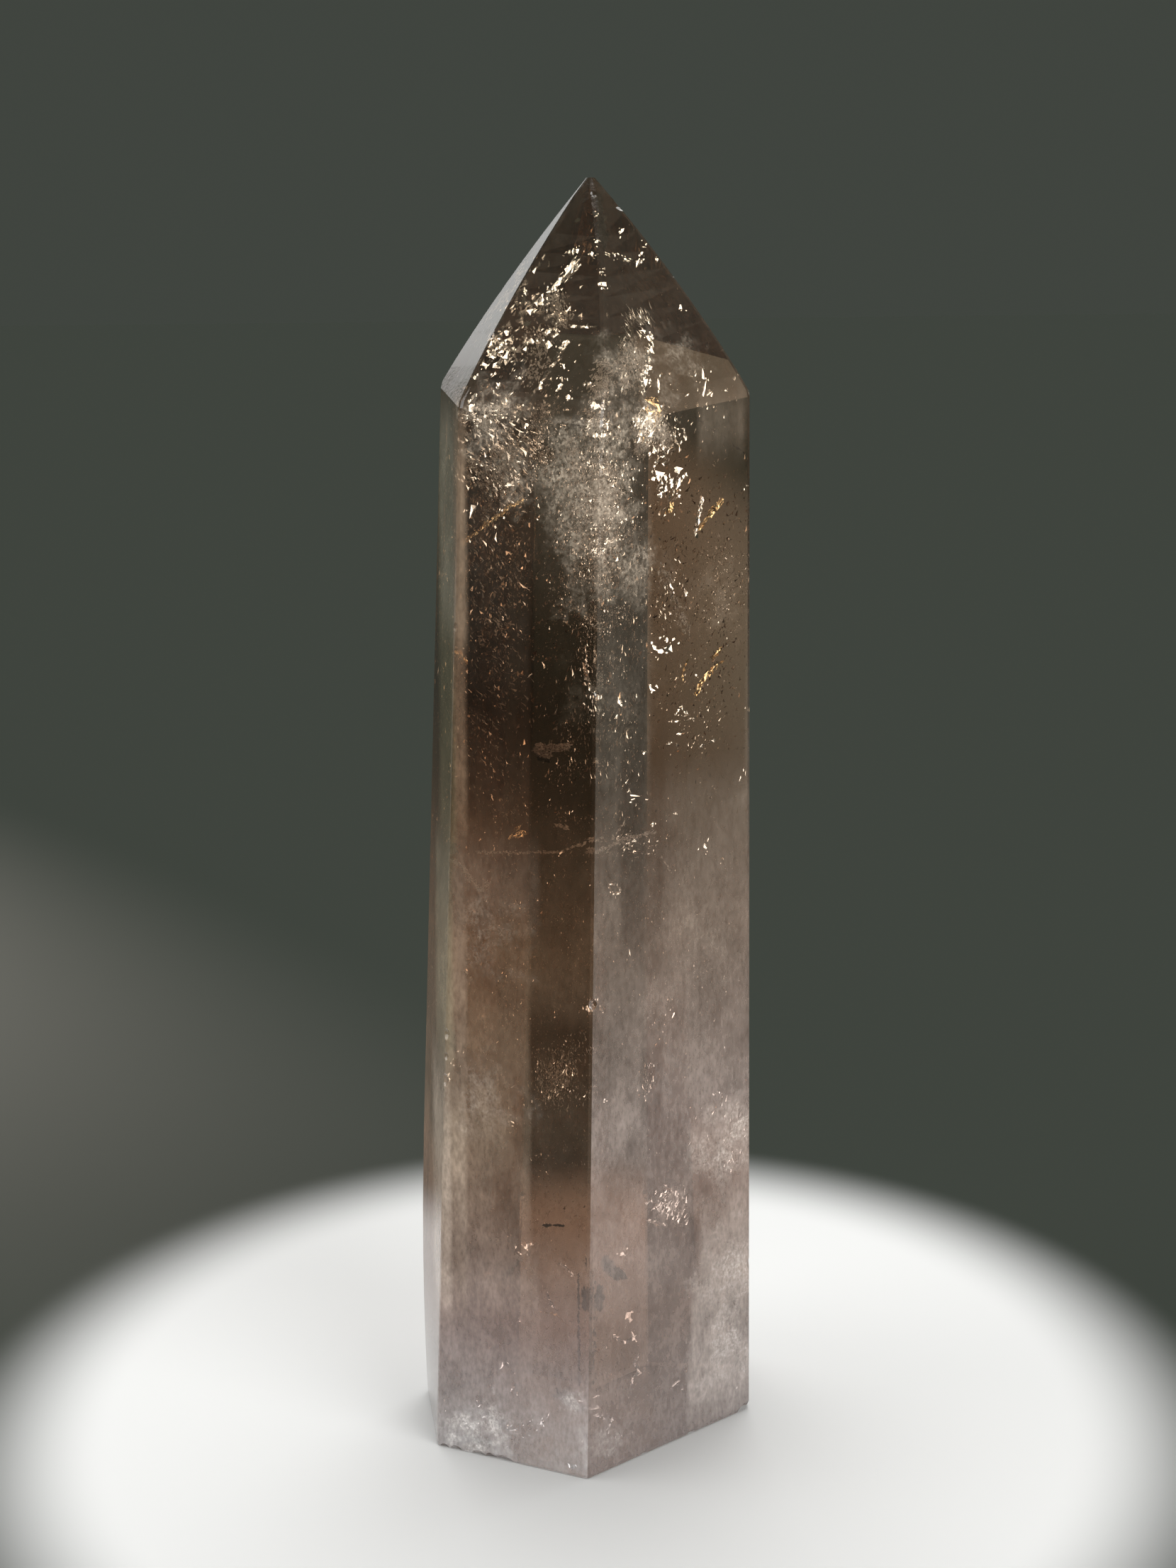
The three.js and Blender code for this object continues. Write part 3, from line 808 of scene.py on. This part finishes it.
def smoky_quartz():
    """Clear quartz that browns what is seen through it, with milk in it, worn edges and a sawn base. The
    milk's colour holds painted light, shade and reflection
    """
    material, tree = new_material("smoky_quartz")
    shader = tree.nodes["Principled BSDF"]
    shader.inputs["IOR"].default_value = QUARTZ_IOR
    place = tree.nodes.new("ShaderNodeTexCoord").outputs["Object"]
    parts = tree.nodes.new("ShaderNodeSeparateXYZ")
    tree.links.new(place, parts.inputs["Vector"])
    up = math_node(tree, "DIVIDE", parts.outputs["Z"], height)
    uneven = drawn_noise(tree, place, *WEAR_NOISE)
    wear = math_node(tree, "MULTIPLY", face_mark(tree, "edge_wear"), uneven)
    sawn = ranged(tree, parts.outputs["Z"], *SAWN_LEVELS, 1, 0)
    milk, colour = milk_and_painted_light_nodes(tree, place, up)
    tree.links.new(colour, shader.inputs["Base Color"])
    milk = with_wear(tree, milk, wear, sawn, WORN_MILK, SAWN_MILK)
    tree.links.new(math_node(tree, "SUBTRACT", 1, milk), shader.inputs["Transmission Weight"])
    polish = drawn_noise(tree, place, *POLISH_NOISE)
    rough = with_wear(tree, polish, wear, sawn, WORN_ROUGHNESS, SAWN_ROUGHNESS)
    tree.links.new(rough, shader.inputs["Roughness"])
    tree.links.new(grain_bump(tree, place, wear, sawn), shader.inputs["Normal"])
    smoke = tree.nodes.new("ShaderNodeVolumeAbsorption")
    smoke.inputs["Color"].default_value = SMOKE_COLOUR
    smoke.inputs["Density"].default_value = SMOKE_DENSITY
    tree.links.new(smoke.outputs["Volume"], tree.nodes["Material Output"].inputs["Volume"])
    return material


def mark_faces(bm):
    """Marks the narrow faces, which are the softened edges and chips, and those right of the front edge"""
    worn = bm.faces.layers.float.new("edge_wear")
    right = bm.faces.layers.float.new("right_side")
    for face in bm.faces:
        longest = max(edge.calc_length() for edge in face.edges)
        face[worn] = 1.0 if face.calc_area() / longest < EDGE_WIDTH else 0.0
        face[right] = min(1, max(0, 0.5 + FRONT_TURN * face.normal.dot(turning.col[0])))


def crystal_mesh():
    mesh = tower.data.copy()
    mesh.name = "crystal_body"
    bm = bmesh.new()
    bm.from_mesh(mesh)
    bmesh.ops.remove_doubles(bm, verts=bm.verts, dist=WELD)
    bmesh.ops.dissolve_limit(bm, angle_limit=FLAT_ANGLE, verts=bm.verts, edges=bm.edges)
    mark_faces(bm)
    bm.to_mesh(mesh)
    bm.free()
    mesh.shade_smooth()
    mesh.set_sharp_from_angle(angle=SHARP_ANGLE)
    return mesh


def azimuth(normal):
    return math.atan2(normal.x, normal.y)


def turned_by(first, second):
    """How far apart two azimuths are"""
    return abs((first - second + math.pi) % (2 * math.pi) - math.pi)


def plane_normals(mesh):
    """Normals that make the sides plane, and let those of the point turn evenly with the height"""
    normals = [Vector((0, 0, 0))] * len(mesh.loops)
    sides = [face for face in mesh.polygons if face.area > SIDE_AREA and abs(face.normal.z) < UPRIGHT]
    ways = sorted({round(azimuth(side.normal), 1): side.normal for side in sides}.values(), key=azimuth)
    for side in sides:
        for loop in side.loop_indices:
            normals[loop] = side.normal
    point = [face for face in mesh.polygons if face.center.z > POINT_START]
    slopes = [face for face in point if UPRIGHT < face.normal.z < STEEP]
    for way in ways:
        own = [face for face in slopes if turned_by(azimuth(face.normal), azimuth(way)) < SLOPE_SPREAD]
        fitted = [face for face in own if face.normal.z > SLOPING and face.area > FITTED_AREA]
        heights = np.array([(1, face.center.z / height) for face in fitted])
        weights = np.sqrt(np.array([face.area for face in fitted]))[:, None]
        facing = np.array([face.normal for face in fitted])
        line = np.linalg.lstsq(heights * weights, facing * weights, rcond=None)[0]
        lowest = min(face.center.z for face in fitted)
        for face in own:
            for loop in face.loop_indices:
                level = max(mesh.vertices[mesh.loops[loop].vertex_index].co.z, lowest) / height
                normals[loop] = Vector(line[0] + line[1] * level).normalized()
    mesh.normals_split_custom_set(normals)


def make_crystal(mesh):
    mesh.materials.clear()
    mesh.materials.append(smoky_quartz())
    plane_normals(mesh)
    body = bpy.data.objects.new("crystal_body", mesh)
    bpy.context.scene.collection.objects.link(body)
    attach(body, "root")
    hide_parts("quartz_tower")


def make_skin(mesh):
    """The surface, ready for lines of sight to be cast at it"""
    bm = bmesh.new()
    bm.from_mesh(mesh)
    tree = BVHTree.FromBMesh(bm)
    bm.free()
    return tree


def photo_ray(column, row):
    """The line of sight of a pixel of the photograph"""
    aside = (column - PHOTO_WIDTH_PX / 2) / FOCAL_LENGTH_PX
    up = (PHOTO_HEIGHT_PX / 2 - row) / FOCAL_LENGTH_PX
    return (turning @ Vector((aside, up, -1))).normalized()


def refracted(ray, normal):
    """A ray from the air as it goes on inside the crystal"""
    ratio = 1 / QUARTZ_IOR
    cosine = -ray.dot(normal)
    along = ratio * cosine - math.sqrt(1 - ratio * ratio * (1 - cosine * cosine))
    return ray * ratio + normal * along


def glint_way(bent, normal):
    """Which way a flat flaw faces to throw the key light into a bent line of sight"""
    key = Vector(KEY_LIGHT).normalized()
    if key.dot(normal) < GRAZING:
        return -bent
    return (-bent - refracted(-key, normal)).normalized()


def seen_inside(column, row, share):
    """The point that the photograph shows at a pixel, a share of the way from the near face to the far one,
    and which way a flaw there faces to glint"""
    near, normal = skin.ray_cast(CAMERA_PLACE, photo_ray(column, row))[:2]
    if near is None:
        return None, None
    bent = refracted(photo_ray(column, row), normal)
    far = skin.ray_cast(near + bent * PAST_FACE_MM * MM, bent)[0]
    if far is None:
        return None, None
    return near.lerp(far, share), glint_way(bent, normal)


def well_inside(point, margin):
    """Whether a point is in the crystal, more than a margin below its faces"""
    near, normal, _, distance = skin.find_nearest(point)
    return distance > margin and (point - near).dot(normal) < 0


def clumped(point, random):
    """Whether a point is kept, which is likelier in a clump"""
    clump = noise.noise(point / (CLUMP_MM * MM)) + SMALL_CLUMPS * noise.noise(point / (SMALL_CLUMP_MM * MM))
    return clump > random.uniform(*CLUMP_DRAW)


def field_points(column, row, half_width, half_height, count, depths, margin, random):
    """Points of a field, thicker in its middle, and which way flecks there face to glint"""
    points = []
    ways = []
    for tried in range(count):
        aside = column + random.normal() * half_width / 2
        down = row + random.normal() * half_height / 2
        point, way = seen_inside(aside, down, random.uniform(*depths))
        if point is None or not well_inside(point, margin):
            continue
        if clumped(point, random):
            points.append(point)
            ways.append(way)
    return np.array(points).reshape(-1, 3), np.array(ways).reshape(-1, 3)


def flakes(points, ways, along, size, stretch, shape, tilt, random):
    """Low pyramids, each a ring of corners and a top: they face their ways but for a tilt, and their long
    side lies along a direction"""
    corners, ragged = shape
    count = len(points)
    middle = np.array(points).reshape(-1, 3)
    facing = np.array(ways).reshape(-1, 3) + random.normal(0, tilt, (count, 3))
    facing /= np.linalg.norm(facing, axis=1)[:, None]
    long_way = np.array(along).reshape(-1, 3) + random.normal(0, LONG_WAY_STRAY, (count, 3))
    long_way -= facing * np.sum(long_way * facing, axis=1)[:, None]
    long_way /= np.linalg.norm(long_way, axis=1)[:, None]
    short_way = np.cross(facing, long_way)
    half = np.broadcast_to(np.array(size) * MM / 2, count)
    ring = []
    for corner in range(corners):
        turn = 2 * math.pi * (corner + random.uniform(-CORNER_STRAY, CORNER_STRAY, count)) / corners
        reach = half * random.uniform(1 - ragged, 1 + ragged * RAGGED_OUTWARDS, count)
        side = long_way * (reach * stretch * np.cos(turn))[:, None]
        side += short_way * (reach * np.sin(turn))[:, None]
        ring.append(middle + side)
    top = middle + facing * (half * FLAKE_RISE)[:, None]
    return np.stack(ring + [top], axis=1)


def varied(random, spread, count):
    """Sizes scattered round 1"""
    return random.lognormal(0, spread, count).clip(*SIZE_LIMITS)


def lean_direction(lean):
    """Upright in the photograph, leaned to the right by some degrees"""
    turn = math.radians(lean)
    return turning @ Vector((math.sin(turn), math.cos(turn), 0))


def field_flakes(random):
    """Flakes of all the fields, the pale ones and the glinting ones"""
    pale = []
    glinting = []
    for field in FLECK_FIELDS:
        size, stretch, lean, nearest, deepest, glinting_share = field[5:]
        points, ways = field_points(*field[:5], (nearest, deepest), size * stretch * MM, random)
        sizes = size * varied(random, FIELD_SCATTER, len(points))
        bright = random.uniform(0, 1, len(points)) < glinting_share
        for group, chosen, tilt in ((pale, ~bright, PALE_TILT), (glinting, bright, GLINT_TILT)):
            placed = (points[chosen], ways[chosen], lean_direction(lean))
            group.append(flakes(*placed, sizes[chosen], stretch, FIELD_SHAPE, tilt, random))
    return pale, glinting


def wanted_at(share, least, levels):
    """How likely a fleck is kept at a share of the height"""
    wanted = least
    for middle, spread, more in levels:
        wanted += more * math.exp(-(((share - middle) / spread) ** 2))
    return wanted


def spread_flakes(random):
    """Flakes that face any way, all through the crystal"""
    points = []
    while len(points) < SPREAD_FLECKS:
        point = Vector(random.uniform(low, high))
        wanted = wanted_at(point.z / height, SPREAD_LEAST, SPREAD_LEVELS)
        kept = random.uniform(0, 1) < wanted
        if kept and well_inside(point, SPREAD_MARGIN) and clumped(point, random):
            points.append(point)
    sizes = SPREAD_SIZE * varied(random, FIELD_SCATTER, len(points))
    ways = random.normal(0, 1, (len(points), 3))
    return flakes(points, ways, (0, 0, 1), sizes, SPREAD_STRETCH, FIELD_SHAPE, 0, random)


def hidden_flakes(count, tilt, random):
    """Flakes below the faces turned away from the camera, facing outwards but for a tilt"""
    points = []
    ways = []
    while len(points) < count:
        near, normal = skin.find_nearest(Vector(random.uniform(low, high)))[:2]
        point = near - normal * random.uniform(HIDDEN_LEAST_DEPTH, 1) * HIDDEN_DEPTH
        wanted = wanted_at(point.z / height, HIDDEN_LEAST, HIDDEN_LEVELS)
        away = normal.dot(turning.col[2]) < 0 and point.z < HIDDEN_TOP
        kept = away and random.uniform(0, 1) < wanted
        if kept and well_inside(point, HIDDEN_MARGIN) and clumped(point, random):
            points.append(point)
            ways.append(normal)
    sizes = HIDDEN_SIZE * varied(random, FIELD_SCATTER, count)
    along = lean_direction(HIDDEN_LEAN)
    return flakes(points, ways, along, sizes, HIDDEN_STRETCH, FIELD_SHAPE, tilt, random)


def trail_flakes(trail, random):
    """Flakes along a path drawn over the photograph, each lying along it"""
    path, width, size, count = trail
    lengths = [math.dist(first, second) for first, second in zip(path, path[1:])]
    points = []
    ways = []
    directions = []
    for tried in range(count):
        part = random.choice(len(lengths), p=np.array(lengths) / sum(lengths))
        first, second = np.array(path[part]), np.array(path[part + 1])
        column, row = first + (second - first) * random.uniform(0, 1) + random.normal(0, width / 4, 2)
        point, way = seen_inside(column, row, random.uniform(*TRAIL_DEPTHS))
        if point is None or not well_inside(point, size / PX_PER_MM * MM):
            continue
        points.append(point)
        ways.append(way)
        step = second - first
        directions.append((turning @ Vector((step[0], -step[1], 0))).normalized())
    sizes = size / PX_PER_MM * varied(random, TRAIL_SCATTER, len(points))
    return flakes(points, ways, directions, sizes, TRAIL_STRETCH, TRAIL_SHAPE, TRAIL_TILT, random)


def glint_flakes(random):
    """Each glint seen singly, with a few shards scattered round it"""
    points = []
    ways = []
    sizes = []
    stretches = []
    directions = []
    for column, row, length, width, lean in GLINTS:
        for shard in range(GLINT_SHARDS):
            off = random.normal(0, SHARD_SCATTER, 2) * length if shard else (0, 0)
            share = random.uniform(*SHARD_SIZES) if shard else 1
            point, way = seen_inside(column + off[0], row + off[1], random.uniform(*GLINT_DEPTHS))
            if point is None or not well_inside(point, GLINT_MARGIN * length / PX_PER_MM * MM):
                continue
            points.append(point)
            ways.append(way)
            sizes.append(GLINT_ENLARGED * width * share / PX_PER_MM)
            stretches.append(length / width)
            directions.append(lean_direction(lean))
    return flakes(points, ways, directions, sizes, np.array(stretches), GLINT_SHAPE, GLINT_TILT / 2, random)


def add_flakes(name, groups, material):
    """One mesh of all the flakes in some groups, each an array of flakes with the same number of corners"""
    vertices = []
    faces = []
    for group in groups:
        for flake in group.tolist():
            first = len(vertices)
            top = first + len(flake) - 1
            vertices += flake
            faces.append(tuple(range(top - 1, first - 1, -1)))
            faces += [(corner, corner + 1, top) for corner in range(first, top - 1)]
            faces.append((top - 1, first, top))
    mesh = bpy.data.meshes.new(name)
    mesh.from_pydata(vertices, [], faces)
    mesh.materials.append(material)
    piece = bpy.data.objects.new(name, mesh)
    bpy.context.scene.collection.objects.link(piece)
    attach(piece, "root")


def flake_material(name, duller, brighter, metal, roughness):
    """Flecks of two tones, mixed by a fine cloud"""
    material, tree = new_material(name)
    shader = tree.nodes["Principled BSDF"]
    place = tree.nodes.new("ShaderNodeTexCoord").outputs["Object"]
    share = drawn_noise(tree, place, *FLECK_NOISE)
    tree.links.new(mixed_colour(tree, share, duller, brighter), shader.inputs["Base Color"])
    shader.inputs["Metallic"].default_value = metal
    shader.inputs["Specular IOR Level"].default_value = 0
    shader.inputs["Roughness"].default_value = roughness
    return material


def make_flaws():
    """What is seen inside the crystal: clouds, veils and fractures of flakes, and single glints"""
    random = np.random.default_rng(RANDOM_SEED)
    pale, glinting = field_flakes(random)
    pale += [trail_flakes(trail, random) for trail in PALE_TRAILS]
    glinting += [trail_flakes(trail, random) for trail in BRIGHT_TRAILS]
    glinting.append(glint_flakes(random))
    golden = [trail_flakes(trail, random) for trail in GOLDEN_TRAILS]
    dark = [trail_flakes(trail, random) for trail in DARK_TRAILS_AND_REFLECTION]
    haze = [spread_flakes(random), hidden_flakes(HIDDEN_PALE, PALE_TILT, random)]
    glinting.append(hidden_flakes(HIDDEN_GLINTS, PALE_TILT, random))
    milky = flake_material("milky_fleck", *MILKY_FLECK)
    mirror = flake_material("mirror_fleck", *MIRROR_FLECK)
    golden_mirror = flake_material("golden_fleck", *GOLDEN_FLECK)
    shadow = flake_material("dark_fleck_and_reflection", *DARK_FLECK_AND_REFLECTION)
    add_flakes("pale_flecks", pale, milky)
    add_flakes("haze_flecks", haze, milky)
    add_flakes("bright_flecks", glinting, mirror)
    add_flakes("golden_flecks", golden, golden_mirror)
    # dark flecks, with a painted dark reflection at the point
    add_flakes("dark_flecks_and_reflection", dark, shadow)


bpy.context.scene.view_settings.view_transform = "Standard"
turning = camera_turning()
make_camera()
make_stage()
make_lights()
body_mesh = crystal_mesh()
skin = make_skin(body_mesh)
make_crystal(body_mesh)
make_flaws()
